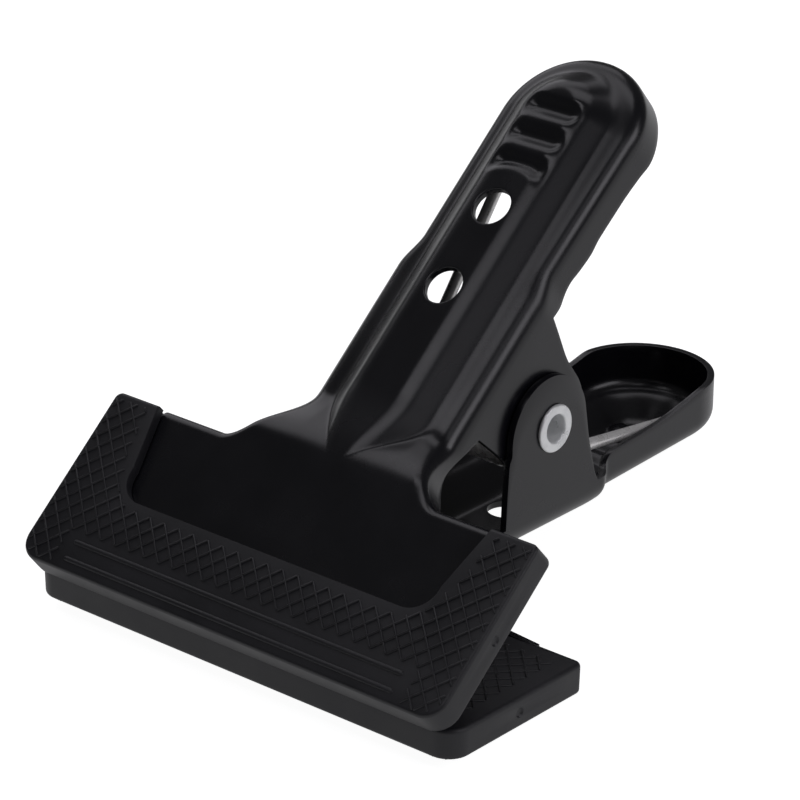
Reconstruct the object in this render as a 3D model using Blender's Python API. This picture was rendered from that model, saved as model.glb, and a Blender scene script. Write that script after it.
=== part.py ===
"""Large sheet-steel spring clamp for studio backdrops, at rest with its jaws closed.

Metres, +Z up. X runs from the handles to the jaws and Y along the pivot. Each piece is one object:
two pressed arms, two rubber jaw pads, a hollow pivot rivet and a torsion spring.

Every shape is worked out in millimetres in the plane of its own jaw plate: s runs back from the
pad's front edge, y sideways and h outwards from the gripping face.
"""

import math

import bpy
import numpy as np

MM = 0.001

# Where the jaws and the pivot stand, as (x, z) with x = 0 at the lower pad's front and z = 0 under it.
JAW_ANGLE = math.radians(40.38)
LOWER_FACE_Z = 7.2
UPPER_FRONT = (0.67, 5.76)
PIVOT = (-75.1, 34.7)

# At rest the clamp lies on the back edge of its lower pad and on the crown of its lower handle. The
# frame's origin is under the middle of the object's box.
REST_TILT = math.radians(4.309)
ORIGIN = (72.358, 3.26)

SHEET = 1.5
EAR_HOLE_R = 4.15
CROWN_HOLE_R = 4.2

# Jaw plate, the same in both arms.
PLATE_H = 4.6
PLATE_FRONT = 3.0
PLATE_HALF = 51.0
PLATE_CORNER_R = 4.0
PLATE_SIDE_END = 36.0
BACK_EDGE = 41.0
FLANGE_START_Y = 44.3
FILLET_START_Y = 28.5
NECK_START = 57.0
FILLET_POWER = 1.65
JAW_BEND_R = 2.2
NECK_BEND_R = 5.3
HANDLE_BEND_R = 4.4
FAN_CENTRE = 22.0

# Raised crown along the neck and the handle.
CROWN_SLOPE = 0.84
CROWN_SHOULDER = 6.4
CROWN_BLEND = 2.2
CROWN_NOSE = 2.7
CROWN_SHARPNESS = 12.0

# Each arm stands a sheet off centre at its neck, so its ears lie outside the other arm's on one side and
# inside on the other. Half widths are given towards +Y and towards -Y, and levels at the neck, at the
# start of the handle and at its end.
UPPER_ARM = {
    "neck_half": (18.0, 20.0),
    "handle_half": (16.7, 17.5),
    "tip_half": 17.4,
    "tip_centre": 131.6,
    "jog": (91.0, 99.0),
    "ramp": (43.5, 59.0),
    "ledge": (-1.8, -1.8, -1.8),
    "crown": (3.5, 3.5, 3.5),
    "crown_run": (46.0, 62.0),
    "rim_front": (
        (41.0, 1.2),
        (42.0, -0.9),
        (43.0, -2.2),
        (44.5, -3.2),
        (47.0, -3.8),
        (49.1, -4.2),
        (51.0, -4.8),
        (54.0, -6.5),
        (57.0, -8.1),
        (62.4, -10.0),
    ),
    "ear_front": ((62.4, -10.0), (63.3, -16.0), (64.1, -22.5)),
    "ear_arc": (76.8, -26.3, 12.4, 175.0, 352.0),
    "ear_back": ((89.5, -21.5), (91.2, -15.7), (92.8, -10.5)),
    "rim_back": (
        (92.8, -10.5),
        (96.5, -11.6),
        (101.3, -10.8),
        (105.0, -11.3),
        (109.0, -11.6),
        (113.0, -11.1),
        (122.0, -11.2),
        (128.4, -11.7),
        (133.3, -12.4),
        (140.0, -12.0),
    ),
    "holes": (86.64, 106.43),
}
LOWER_ARM = {
    "neck_half": (20.0, 18.0),
    "handle_half": (16.7, 16.7),
    "tip_half": 16.4,
    "tip_centre": 131.0,
    "jog": (92.5, 98.5),
    "ramp": (42.5, 60.0),
    "ledge": (-3.25, -4.0, -5.1),
    "crown": (2.25, 1.4, 0.3),
    "crown_run": (44.0, 62.0),
    "rim_front": ((41.0, -0.3), (43.5, -0.5), (46.6, -1.6), (51.0, -5.4), (57.0, -8.8), (60.1, -9.0)),
    "ear_front": ((60.1, -9.0), (60.4, -16.5), (60.9, -24.0)),
    "ear_arc": (73.8, -27.05, 12.1, 172.0, 345.0),
    "ear_back": ((87.1, -21.2), (89.6, -12.2), (90.7, -10.5)),
    "rim_back": (
        (90.7, -10.5),
        (96.0, -10.6),
        (99.6, -12.6),
        (106.0, -13.0),
        (113.0, -13.4),
        (120.0, -14.1),
        (127.0, -15.3),
        (134.0, -16.5),
        (142.0, -16.6),
    ),
    "holes": (85.3, 105.1),
}

# Rubber pads, with a pocket for the plate and a window that opens to the back.
PAD_LENGTH = 40.4
PAD_HALF = 56.0
PAD_TOP = 7.5
PAD_FACE = 0.2
PAD_FRONT_R = 5.0
PAD_BACK_R = 2.5
GRIP_INSET = 4.2
GRIP_STEP = 0.3
PAD_PROFILE = (
    (GRIP_INSET, PAD_FACE),
    (GRIP_INSET - GRIP_STEP, PAD_FACE + GRIP_STEP),
    (1.3, PAD_FACE + GRIP_STEP),
    (0.45, 0.7),
    (0.1, 1.1),
    (0.0, 1.7),
    (0.0, 6.2),
    (0.3, 6.9),
    (1.0, PAD_TOP),
)
POCKET = (2.8, 4.9)
POCKET_GAP = 0.3
POCKET_BACK_TRIM = 39.1
WINDOW_FRONT = 19.0
WINDOW_HALF_FRONT = 41.0
WINDOW_HALF_BACK = 44.9
WINDOW_CORNER_R = 6.0

RIVET_BORE_R = 3.0
RIVET_TUBE_R = 3.8
RIVET_FLANGE_R = 5.2
RIVET_FLANGE = (20.3, 21.2)
RIVET_STEPS = 36

WIRE_R = 1.3
COIL_R = 9.8
COIL_TURNS = 8
COIL_STEPS = 18
WIRE_SIDES = 8
LOWER_LEG_Y = 13.0
UPPER_LEG_Y = -11.6
LOWER_LEG_TILT = math.radians(8.0)
UPPER_LEG_TILT = math.radians(12.0)
LEG_REACH = 57.0

FRACTIONS = (0.0, 0.15, 0.3, 0.41, 0.52, 0.63, 0.74, 0.84, 0.93, 1.0)
BEND_STEPS = 4
FLANGE_STEPS = 2


def smooth(start, end, x):
    """0 before start and 1 after end, with a level slope at both."""
    t = np.clip((x - start) / (end - start), 0.0, 1.0)
    return t * t * (3.0 - 2.0 * t)


def curve(x, table):
    """A table of (x, value) read with a smooth curve that never overshoots."""
    xs, ys = (np.array(column) for column in zip(*table))
    rise = np.diff(ys) / np.diff(xs)
    slope = np.zeros(len(xs))
    for i in range(1, len(xs) - 1):
        if rise[i - 1] * rise[i] > 0.0:
            slope[i] = 2.0 * rise[i - 1] * rise[i] / (rise[i - 1] + rise[i])
    slope[0], slope[-1] = rise[0], rise[-1]
    x = min(max(x, xs[0]), xs[-1])
    i = min(int(np.searchsorted(xs, x, side="right")) - 1, len(xs) - 2)
    gap = xs[i + 1] - xs[i]
    t = (x - xs[i]) / gap
    keep = (1.0 + 2.0 * t) * (1.0 - t) ** 2 * ys[i] + t * t * (3.0 - 2.0 * t) * ys[i + 1]
    return keep + gap * t * (1.0 - t) * ((1.0 - t) * slope[i] - t * slope[i + 1])


def half_width(arm, s):
    """Half the width of the neck and the handle at s."""
    narrow = arm["neck_half"] + (arm["handle_half"] - arm["neck_half"]) * smooth(*arm["jog"], s)
    end = arm["jog"][1]
    flare = np.clip((s - end) / (arm["tip_centre"] - end), 0.0, 1.0)
    return narrow + (arm["tip_half"] - arm["handle_half"]) * flare


def bend_radius(arm, s):
    """Outside radius of the bend between the plate and its flange."""
    neck = JAW_BEND_R + (NECK_BEND_R - JAW_BEND_R) * smooth(BACK_EDGE + 2.0, NECK_START, s)
    return neck + (HANDLE_BEND_R - NECK_BEND_R) * smooth(*arm["jog"], s)


def spread(levels, s):
    """A level that changes at the jog and then evenly to the end of the handle."""
    neck, start, end = levels
    fall = (end - start) * np.clip((s - 100.0) / 33.0, 0.0, 1.0)
    return neck + (start - neck) * smooth(88.0, 100.0, s) + fall


def level(arm, s, y):
    """Height of the arm's outer face above the gripping plane, inside its bends."""
    far = np.hypot(max(s - arm["tip_centre"], 0.0), y)
    ledge = PLATE_H + (spread(arm["ledge"], s) - PLATE_H) * smooth(*arm["ramp"], s)
    crown = PLATE_H + (spread(arm["crown"], s) - PLATE_H) * smooth(*arm["crown_run"], s)
    depth = max(crown - ledge, 0.0)
    centre = CROWN_SHOULDER - CROWN_NOSE * (1.0 - smooth(44.0, 60.0, s))
    across = far - centre
    if across > CROWN_BLEND:
        drop = CROWN_SLOPE * across
    else:
        drop = CROWN_SLOPE * max(across + CROWN_BLEND, 0.0) ** 2 / (4.0 * CROWN_BLEND)
    if depth < 1e-6 or drop < 1e-9:
        return crown - min(depth, drop)
    total = (drop**CROWN_SHARPNESS + depth**CROWN_SHARPNESS) ** (1.0 / CROWN_SHARPNESS)
    return crown - drop * depth / total


def rounded_corner(centre, radius, start, end, steps):
    """Points of an arc, angles in degrees."""
    angles = np.radians(np.linspace(start, end, steps + 1))
    return [(centre[0] + radius * math.cos(a), centre[1] + radius * math.sin(a)) for a in angles]


def ear_outline(arm):
    """The lower edge of one ear as (s, h) points from front to back."""
    s, h, radius, start, end = arm["ear_arc"]
    arc = rounded_corner((s, h), radius, start, end, 12)
    return np.array(list(arm["ear_front"]) + arc + list(arm["ear_back"]))


def along(points, share):
    """The point a given share of the way along a line of points."""
    steps = np.hypot(*np.diff(points, axis=0).T)
    walked = np.concatenate([[0.0], np.cumsum(steps)]) / steps.sum()
    return np.array([np.interp(share, walked, points[:, k]) for k in range(points.shape[1])])


def rim_point(arm, s, y):
    """Where the flange that starts at plan point (s, y) ends, as (s, h)."""
    front, back = arm["ear_front"][0][0], arm["ear_back"][-1][0]
    if y > FILLET_START_Y:
        rise = (y - FILLET_START_Y) / (FLANGE_START_Y - FILLET_START_Y)
        return s, arm["rim_front"][0][1] + 1.2 * rise
    if s < front:
        return s, curve(s, arm["rim_front"])
    if s <= back:
        return tuple(along(ear_outline(arm), (s - front) / (back - front)))
    return s, curve(s, arm["rim_back"])


def front_outline():
    """Edge of the jaw plate from the middle of its front to where the flange starts."""
    corner = (PLATE_FRONT + PLATE_CORNER_R, PLATE_HALF - PLATE_CORNER_R)
    arc = rounded_corner(corner, PLATE_CORNER_R, 180.0, 90.0, 4)
    points = [(PLATE_FRONT, y) for y in (0.0, 16.0, 32.0)] + arc
    return points + [(20.0, PLATE_HALF), (PLATE_SIDE_END, PLATE_HALF)]


def back_outline(arm):
    """Rows along the back edge and the fillet: spine s, plan point and outward direction."""
    rows = []
    for y in (FLANGE_START_Y, 39.0, 34.0, FILLET_START_Y):
        rows.append((BACK_EDGE, y, 1.0, 0.0))
    long, wide = NECK_START - BACK_EDGE, FILLET_START_Y - arm["neck_half"]
    power = 2.0 / FILLET_POWER
    for angle in np.radians(np.linspace(12.0, 78.0, 7)):
        c, n = math.cos(angle), math.sin(angle)
        ds = long * power * c ** (power - 1.0) * n
        dy = -wide * power * n ** (power - 1.0) * c
        size = math.hypot(ds, dy)
        rows.append((NECK_START - long * c**power, FILLET_START_Y - wide * n**power, -dy / size, ds / size))
    count = len(rows)
    spine = np.linspace(FAN_CENTRE, NECK_START, count + 1)[:-1]
    return [(spine[i], *rows[i]) for i in range(count)]


def side_rows(arm):
    """Rows straight across the neck and the handle."""
    front, back = arm["ear_front"][0][0], arm["ear_back"][-1][0]
    cuts = [NECK_START, *np.linspace(front, back, 20), *arm["jog"][1:], 103.0, 107.0, 112.0, 118.0, 124.0]
    cuts.append(arm["tip_centre"])
    return [(s, s, float(half_width(arm, s)), 0.0, 1.0) for s in sorted({round(c, 4) for c in cuts})]


def tip_rows(arm):
    """Rows that fan round the end of the handle."""
    rows = []
    for angle in np.radians(np.linspace(0.0, 90.0, 9)[1:]):
        n, c = math.sin(angle), math.cos(angle)
        rows.append((arm["tip_centre"], arm["tip_centre"] + arm["tip_half"] * n, arm["tip_half"] * c, n, c))
    return rows


def flanged_row(arm, row):
    """Points of one row from the spine, over the bend and down the flange."""
    spine, s, y, out_s, out_y = row
    radius = bend_radius(arm, s)
    low, high = 0.0, math.radians(60.0)
    for _ in range(24):
        tilt = 0.5 * (low + high)
        back = radius * (1.0 - math.sin(tilt))
        edge = (s - out_s * back, y - out_y * back)
        fall = level(arm, *edge) - level(arm, edge[0] + 0.01 * out_s, edge[1] + 0.01 * out_y)
        if fall > 0.01 * math.tan(tilt):
            low = tilt
        else:
            high = tilt
    reach = math.hypot(edge[0] - spine, edge[1])
    inner = min(reach, 14.5)
    points = []
    for share in FRACTIONS:
        part = 1.0 if share == 1.0 else share * inner / reach
        at = (spine + (edge[0] - spine) * part, edge[1] * part)
        points.append((*at, level(arm, *at)))
    top = level(arm, *edge)
    for tip in np.linspace(tilt, 0.5 * math.pi, BEND_STEPS + 1)[1:]:
        out = radius * (math.sin(tip) - math.sin(tilt))
        down = radius * (math.cos(tilt) - math.cos(tip))
        points.append((edge[0] + out_s * out, edge[1] + out_y * out, top - down))
    end_h = points[-1][2]
    rim_s, rim_h = rim_point(arm, s, y)
    rim_h = min(rim_h, end_h - 0.4)
    for share in np.linspace(0.0, 1.0, FLANGE_STEPS + 1)[1:]:
        at_s = s + (rim_s - s) * share
        straight = NECK_START < s <= arm["tip_centre"] and out_s == 0.0
        at_y = float(half_width(arm, at_s)) if straight else y
        points.append((at_s, at_y, end_h + (rim_h - end_h) * share))
    return points


def arm_rows(arm, side):
    """The outer face of half an arm, as rows of points, towards +Y or -Y."""
    arm = {**arm, "neck_half": arm["neck_half"][side], "handle_half": arm["handle_half"][side]}
    rows = []
    for s, y in front_outline():
        shares = np.linspace(0.0, 1.0, len(FRACTIONS))
        rows.append([(FAN_CENTRE + (s - FAN_CENTRE) * k, y * k, PLATE_H) for k in shares])
    for row in back_outline(arm) + side_rows(arm) + tip_rows(arm):
        rows.append(flanged_row(arm, row))
    return rows


def sheet_body(halves):
    """A closed body of even thickness under a face, given as rows of points for its +Y and its -Y half."""
    points, index = [], {}

    def number(point):
        key = tuple(int(round(c * 1e4)) for c in point)
        if key not in index:
            index[key] = len(points)
            points.append(point)
        return index[key]

    faces = []
    for side, rows in zip((1.0, -1.0), halves):
        ids = [[number((p[0], side * p[1], p[2])) for p in row] for row in rows]
        for one, two in zip(ids, ids[1:]):
            for k in range(min(len(one), len(two)) - 1):
                corners = (one[k], one[k + 1], two[k + 1], two[k])
                for face in ((corners[0], corners[1], corners[2]), (corners[0], corners[2], corners[3])):
                    if len(set(face)) == 3:
                        faces.append(face if side > 0.0 else face[::-1])
    points = np.array(points)
    faces = np.array(faces)
    a, b, c = (points[faces[:, k]] for k in range(3))
    cross = np.cross(b - a, c - a)
    if cross[:, 2].sum() < 0.0:
        faces = faces[:, ::-1]
        cross = -cross
    normals = np.zeros_like(points)
    for k in range(3):
        np.add.at(normals, faces[:, k], cross)
    normals /= np.linalg.norm(normals, axis=1)[:, None]
    count = len(points)
    directed = {(f[i], f[(i + 1) % 3]) for f in faces.tolist() for i in range(3)}
    border = sorted(edge for edge in directed if edge[::-1] not in directed)
    strip = []
    for one, two in border:
        strip += [(two, one, one + count), (two, one + count, two + count)]
    body = np.concatenate([faces, faces[:, ::-1] + count, np.array(strip)])
    return np.concatenate([points, points - SHEET * normals]), body


def place(x, y, z):
    """A point beside the level lower jaw, laid down as the clamp rests, in the object's frame."""
    c, n = math.cos(REST_TILT), math.sin(REST_TILT)
    y = y + 0.0 * x
    return np.stack([ORIGIN[0] + x * c - z * n, y, ORIGIN[1] + x * n + z * c], axis=-1)


def lower_world(points):
    """Lower jaw plane to the object's frame."""
    s, y, h = np.asarray(points, float).T
    return place(-s, y, LOWER_FACE_Z - h)


def upper_world(points):
    """Upper jaw plane to the object's frame."""
    s, y, h = np.asarray(points, float).T
    c, n = math.cos(JAW_ANGLE), math.sin(JAW_ANGLE)
    return place(UPPER_FRONT[0] - s * c + h * n, y, UPPER_FRONT[1] + s * n + h * c)


def pivot_world(points):
    """Points about the pivot, level with the lower jaw, to the object's frame."""
    x, y, z = np.asarray(points, float).T
    return place(PIVOT[0] + x, y, PIVOT[1] + z)


def prism(outline, bottom, top):
    """A closed prism on a plan outline of (s, y) points."""
    count = len(outline)
    points = [(s, y, bottom) for s, y in outline] + [(s, y, top) for s, y in outline]
    faces = [tuple(range(count))[::-1], tuple(range(count, 2 * count))]
    faces += [(i, (i + 1) % count, count + (i + 1) % count, count + i) for i in range(count)]
    return points, faces


def pad_outline(inset, steps=5):
    """The pad's outline in plan, drawn in by inset."""
    front = max(PAD_FRONT_R - inset, 0.4)
    back = max(PAD_BACK_R - inset, 0.4)
    near, far, half = inset, PAD_LENGTH - inset, PAD_HALF - inset
    points = rounded_corner((far - back, half - back), back, 0.0, 90.0, steps)
    points += rounded_corner((near + front, half - front), front, 90.0, 180.0, steps)
    points += rounded_corner((near + front, -half + front), front, 180.0, 270.0, steps)
    points += rounded_corner((far - back, -half + back), back, 270.0, 360.0, steps)
    return points


def pad_block():
    """The pad before its pocket and window are cut."""
    points, faces = [], []
    rings = [pad_outline(inset) for inset, _ in PAD_PROFILE]
    count = len(rings[0])
    for ring, (_, h) in zip(rings, PAD_PROFILE):
        points += [(s, y, h) for s, y in ring]
    faces.append(tuple(range(count))[::-1])
    for k in range(len(rings) - 1):
        for i in range(count):
            j = (i + 1) % count
            faces.append((k * count + i, k * count + j, (k + 1) * count + j, (k + 1) * count + i))
    last = (len(rings) - 1) * count
    faces.append(tuple(range(last, last + count)))
    return points, faces


def mirrored(half):
    """An outline of (s, y) points closed with its mirror image in y, anticlockwise."""
    return half + [(s, -y) for s, y in reversed(half)]


def pad_cutters():
    """The pocket, the window and the trim behind the gripping face, as closed bodies."""
    past = PAD_LENGTH + 12.0
    radius = PLATE_CORNER_R + POCKET_GAP
    front, half = PLATE_FRONT - POCKET_GAP, PLATE_HALF + POCKET_GAP
    pocket = [(past, half)] + rounded_corner((front + radius, half - radius), radius, 90.0, 180.0, 4)
    slope = (WINDOW_HALF_BACK - WINDOW_HALF_FRONT) / (PAD_LENGTH - WINDOW_FRONT)
    back = (past, WINDOW_HALF_BACK + slope * (past - PAD_LENGTH))
    corner = (WINDOW_FRONT + WINDOW_CORNER_R, WINDOW_HALF_FRONT - WINDOW_CORNER_R)
    window = [back] + rounded_corner(corner, WINDOW_CORNER_R, 90.0, 180.0, 5)
    trim = [(past, WINDOW_HALF_BACK), (POCKET_BACK_TRIM, WINDOW_HALF_BACK)]
    return (
        prism(mirrored(pocket), *POCKET),
        prism(mirrored(window), 0.5 * sum(POCKET), PAD_TOP + 5.0),
        prism(mirrored(trim), -5.0, 0.5 * sum(POCKET)),
    )


def round_bar(radius, half_length, centre, axis, steps=40):
    """A cylinder along y or along h, for cutting a hole."""
    turns = np.linspace(0.0, 2.0 * math.pi, steps + 1)[:-1]
    ring = [(radius * math.cos(a), radius * math.sin(a)) for a in turns]
    points = []
    for end in (-half_length, half_length):
        for u, v in ring:
            across = (centre[0] + u, end, centre[1] + v)
            upward = (centre[0] + u, v, centre[1] + end)
            points.append(across if axis == "y" else upward)
    faces = [tuple(range(steps))[::-1], tuple(range(steps, 2 * steps))]
    faces += [(i, (i + 1) % steps, steps + (i + 1) % steps, steps + i) for i in range(steps)]
    return points, faces


def rivet_body():
    """The hollow rivet, turned about the pivot."""
    inner, outer = RIVET_FLANGE
    profile = [
        (RIVET_BORE_R, -outer + 0.35), (RIVET_BORE_R + 0.35, -outer), (RIVET_FLANGE_R - 0.35, -outer),
        (RIVET_FLANGE_R, -outer + 0.35), (RIVET_FLANGE_R, -inner), (RIVET_TUBE_R, -inner),
        (RIVET_TUBE_R, inner), (RIVET_FLANGE_R, inner), (RIVET_FLANGE_R, outer - 0.35),
        (RIVET_FLANGE_R - 0.35, outer), (RIVET_BORE_R + 0.35, outer), (RIVET_BORE_R, outer - 0.35),
    ]
    count = len(profile)
    points = []
    for angle in np.linspace(0.0, 2.0 * math.pi, RIVET_STEPS + 1)[:-1]:
        for radius, y in profile:
            points.append((radius * math.cos(angle), y, radius * math.sin(angle)))
    faces = []
    for i in range(RIVET_STEPS):
        for k in range(count):
            a, b = i * count, ((i + 1) % RIVET_STEPS) * count
            m = (k + 1) % count
            faces.append((a + k, a + m, b + m, b + k))
    return points, faces


def spring_path():
    """Centre line of the spring about the pivot, as x, y, z in the object's directions."""
    first = -0.5 * math.pi + LOWER_LEG_TILT
    last = 0.5 * math.pi - JAW_ANGLE - UPPER_LEG_TILT + 2.0 * math.pi * COIL_TURNS
    lower = np.array([-math.cos(LOWER_LEG_TILT), -math.sin(LOWER_LEG_TILT)])
    turn = math.pi - JAW_ANGLE - UPPER_LEG_TILT
    upper = np.array([math.cos(turn), math.sin(turn)])
    points = []
    start = COIL_R * np.array([math.cos(first), math.sin(first)])
    for reach in (LEG_REACH, 0.5 * LEG_REACH, 6.0):
        x, z = start + lower * reach
        points.append((x, LOWER_LEG_Y, z))
    count = int(COIL_STEPS * (last - first) / (2.0 * math.pi))
    for share in np.linspace(0.0, 1.0, count + 1):
        angle = first + (last - first) * share
        y = LOWER_LEG_Y + (UPPER_LEG_Y - LOWER_LEG_Y) * share
        points.append((COIL_R * math.cos(angle), y, COIL_R * math.sin(angle)))
    end = COIL_R * np.array([math.cos(last), math.sin(last)])
    for reach in (6.0, 0.5 * LEG_REACH, LEG_REACH):
        x, z = end + upper * reach
        points.append((x, UPPER_LEG_Y, z))
    return np.array(points)


def wire_body(path, radius, sides):
    """A round wire along a path, closed at both ends."""
    forward = np.gradient(path, axis=0)
    forward /= np.linalg.norm(forward, axis=1)[:, None]
    points = []
    for at, ahead in zip(path, forward):
        first = np.array([0.0, 1.0, 0.0]) - ahead * ahead[1]
        first /= np.linalg.norm(first)
        second = np.cross(ahead, first)
        for angle in np.linspace(0.0, 2.0 * math.pi, sides + 1)[:-1]:
            points.append(at + radius * (math.cos(angle) * first + math.sin(angle) * second))
    faces = [tuple(range(sides))[::-1], tuple(range(len(points) - sides, len(points)))]
    for k in range(len(path) - 1):
        for i in range(sides):
            j = (i + 1) % sides
            faces.append((k * sides + i, k * sides + j, (k + 1) * sides + j, (k + 1) * sides + i))
    return points, faces


def add_object(name, points, faces, colour=None, metallic=0.0, rough=0.5):
    """One mesh object in metres, facing out, with its origin on the pivot's axis."""
    pivot = pivot_world([(0.0, 0.0, 0.0)])[0]
    mesh = bpy.data.meshes.new(name)
    faces = [tuple(int(i) for i in face) for face in faces]
    mesh.from_pydata([tuple((np.asarray(p) - pivot) * MM) for p in points], [], faces)
    obj = bpy.data.objects.new(name, mesh)
    bpy.context.scene.collection.objects.link(obj)
    obj.location = tuple(pivot * MM)
    if colour:
        paint = bpy.data.materials.new(name + "_paint")
        paint.use_nodes = True
        shader = paint.node_tree.nodes["Principled BSDF"]
        shader.inputs["Base Color"].default_value = (*colour, 1.0)
        shader.inputs["Metallic"].default_value = metallic
        shader.inputs["Roughness"].default_value = rough
        mesh.materials.append(paint)
    return obj


def cut(target, name, points, faces):
    """Takes a closed body away from an object."""
    cutter = add_object(name, points, faces)
    cutter.hide_render = True
    cutter.display_type = "WIRE"
    change = target.modifiers.new(name, "BOOLEAN")
    change.operation = "DIFFERENCE"
    change.solver = "EXACT"
    change.object = cutter


def add_arm(name, arm, to_world):
    """A pressed arm with its crown holes and its pivot holes."""
    points, faces = sheet_body([arm_rows(arm, side) for side in (0, 1)])
    points = to_world(points)
    if name == "lower_arm":
        faces = faces[:, ::-1]
    body = add_object(name, points, faces, (0.02, 0.022, 0.026), 0.2, 0.38)
    for k, s in enumerate(arm["holes"]):
        hole, sides = round_bar(CROWN_HOLE_R, 6.0, (s, arm["crown"][0]), "h")
        cut(body, f"{name}_hole_{k + 1}", *oriented(to_world(hole), sides))
    hole, sides = round_bar(EAR_HOLE_R, 40.0, (0.0, 0.0), "y")
    cut(body, f"{name}_pivot_hole", *oriented(pivot_world(hole), sides))
    return body


def oriented(points, faces):
    """The same body with its faces turned to point out."""
    points = np.asarray(points, float)
    volume = 0.0
    for face in faces:
        for k in range(1, len(face) - 1):
            volume += np.dot(points[face[0]], np.cross(points[face[k]], points[face[k + 1]]))
    return points, [tuple(face)[::-1] for face in faces] if volume < 0.0 else faces


def add_pad(name, to_world):
    """A rubber pad with its pocket and window."""
    points, faces = pad_block()
    pad = add_object(name, *oriented(to_world(points), faces), (0.012, 0.012, 0.014), 0.0, 0.85)
    for label, (cutter, sides) in zip(("pocket", "window", "trim"), pad_cutters()):
        cut(pad, f"{name}_{label}", *oriented(to_world(cutter), sides))
    return pad


def main():
    for obj in list(bpy.data.objects):
        bpy.data.objects.remove(obj, do_unlink=True)
    add_arm("lower_arm", LOWER_ARM, lower_world)
    add_arm("upper_arm", UPPER_ARM, upper_world)
    add_pad("lower_jaw_pad", lower_world)
    add_pad("upper_jaw_pad", upper_world)
    points, faces = rivet_body()
    add_object("pivot_rivet", *oriented(pivot_world(points), faces), (0.62, 0.63, 0.62), 1.0, 0.35)
    points, faces = wire_body(spring_path(), WIRE_R, WIRE_SIDES)
    add_object("torsion_spring", *oriented(pivot_world(points), faces), (0.5, 0.5, 0.5), 1.0, 0.3)


main()
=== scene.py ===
"""Looks of the wide spring clamp: fine surfaces, materials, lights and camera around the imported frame.

Shapes are worked out in millimetres in the plane of each jaw plate, as the CAD source does: s runs back
from the pad's front edge, y sideways and h outwards from the gripping face.
"""

import math

import bmesh
import bpy
import numpy as np
from mathutils import Matrix, Vector


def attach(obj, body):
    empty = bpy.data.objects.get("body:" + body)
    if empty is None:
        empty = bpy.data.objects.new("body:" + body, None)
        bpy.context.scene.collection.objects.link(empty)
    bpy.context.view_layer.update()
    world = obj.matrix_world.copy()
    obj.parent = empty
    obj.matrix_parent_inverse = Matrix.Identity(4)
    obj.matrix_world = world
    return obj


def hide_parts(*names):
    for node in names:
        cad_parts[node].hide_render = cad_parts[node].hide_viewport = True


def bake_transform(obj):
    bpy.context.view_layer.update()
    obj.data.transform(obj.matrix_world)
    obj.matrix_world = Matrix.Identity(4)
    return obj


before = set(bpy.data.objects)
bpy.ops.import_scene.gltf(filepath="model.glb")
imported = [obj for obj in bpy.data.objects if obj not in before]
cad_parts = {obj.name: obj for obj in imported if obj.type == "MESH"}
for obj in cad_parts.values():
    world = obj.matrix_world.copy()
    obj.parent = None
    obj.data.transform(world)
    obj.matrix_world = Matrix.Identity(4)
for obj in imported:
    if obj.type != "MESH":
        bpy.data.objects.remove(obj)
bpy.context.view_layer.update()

MM = 0.001

# Where the jaws and the pivot stand, as (x, z) with x = 0 at the lower pad's front and z = 0 under it.
JAW_ANGLE = math.radians(40.38)
LOWER_FACE_Z = 7.2
UPPER_FRONT = (0.67, 5.76)
PIVOT = (-75.1, 34.7)
REST_TILT = math.radians(4.309)
ORIGIN = (72.358, 3.26)

# The camera, in the same level directions, in millimetres.
CAMERA_AT = (497.41, 463.41, 355.10)
CAMERA_BACK = (0.69986, 0.59264, 0.39872)
CAMERA_UP = (-0.29773, -0.26537, 0.91702)
CAMERA_LENS = 173.73

SHEET = 1.5
EAR_HOLE_R = 4.15
CROWN_HOLE_R = 4.2

PLATE_H = 4.6
PLATE_FRONT = 3.0
PLATE_HALF = 51.0
PLATE_CORNER_R = 4.0
PLATE_SIDE_END = 36.0
BACK_EDGE = 41.0
FLANGE_START_Y = 44.3
FILLET_START_Y = 28.5
NECK_START = 57.0
FILLET_POWER = 1.65
JAW_BEND_R = 2.2
NECK_BEND_R = 5.3
HANDLE_BEND_R = 4.4
FAN_CENTRE = 22.0

CROWN_SLOPE = 0.84
CROWN_SHOULDER = 6.4
CROWN_BLEND = 2.2
CROWN_NOSE = 2.7
CROWN_SHARPNESS = 12.0
LEDGE_FALL = 0.17
LEDGE_FALL_START = 12.2

# Three finger grooves across the end of each handle, as (middle s, half width).
GROOVES = ((117.4, 1.7), (124.6, 1.7), (131.6, 1.7))
GROOVE_DEPTH = 1.4
GROOVE_HALF = 6.0
GROOVE_EDGE = 1.7
BOSS_R = 10.6

# Each arm stands a sheet off centre at its neck, so its ears lie outside the other arm's on one side and
# inside on the other. Half widths are given towards +Y and towards -Y, and levels at the neck, at the
# start of the handle and at its end.
UPPER_ARM = {
    "neck_half": (18.0, 20.0),
    "handle_half": (16.7, 17.5),
    "tip_half": 17.4,
    "tip_centre": 131.6,
    "jog": (91.0, 99.0),
    "ramp": (43.5, 59.0),
    "ledge": (-1.6, -1.6, -1.6),
    "crown": (3.5, 3.5, 3.5),
    "crown_run": (46.0, 62.0),
    "rim_front": (
        (41.0, 1.2),
        (42.0, -0.9),
        (43.0, -2.2),
        (44.5, -3.2),
        (47.0, -3.8),
        (49.1, -4.2),
        (51.0, -4.8),
        (54.0, -6.5),
        (57.0, -8.1),
        (62.4, -10.0),
    ),
    "ear_front": ((62.4, -10.0), (63.3, -16.0), (64.1, -22.5)),
    "ear_arc": (76.8, -26.3, 12.4, 175.0, 352.0),
    "ear_back": ((89.5, -21.5), (91.2, -15.7), (92.8, -10.5)),
    "rim_back": (
        (92.8, -10.5),
        (96.5, -11.6),
        (101.3, -10.8),
        (105.0, -11.3),
        (109.0, -11.6),
        (113.0, -11.1),
        (122.0, -11.2),
        (128.4, -11.7),
        (133.3, -12.4),
        (140.0, -12.0),
    ),
    "holes": (86.64, 106.43),
    "shift": 0.0,
}
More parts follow.
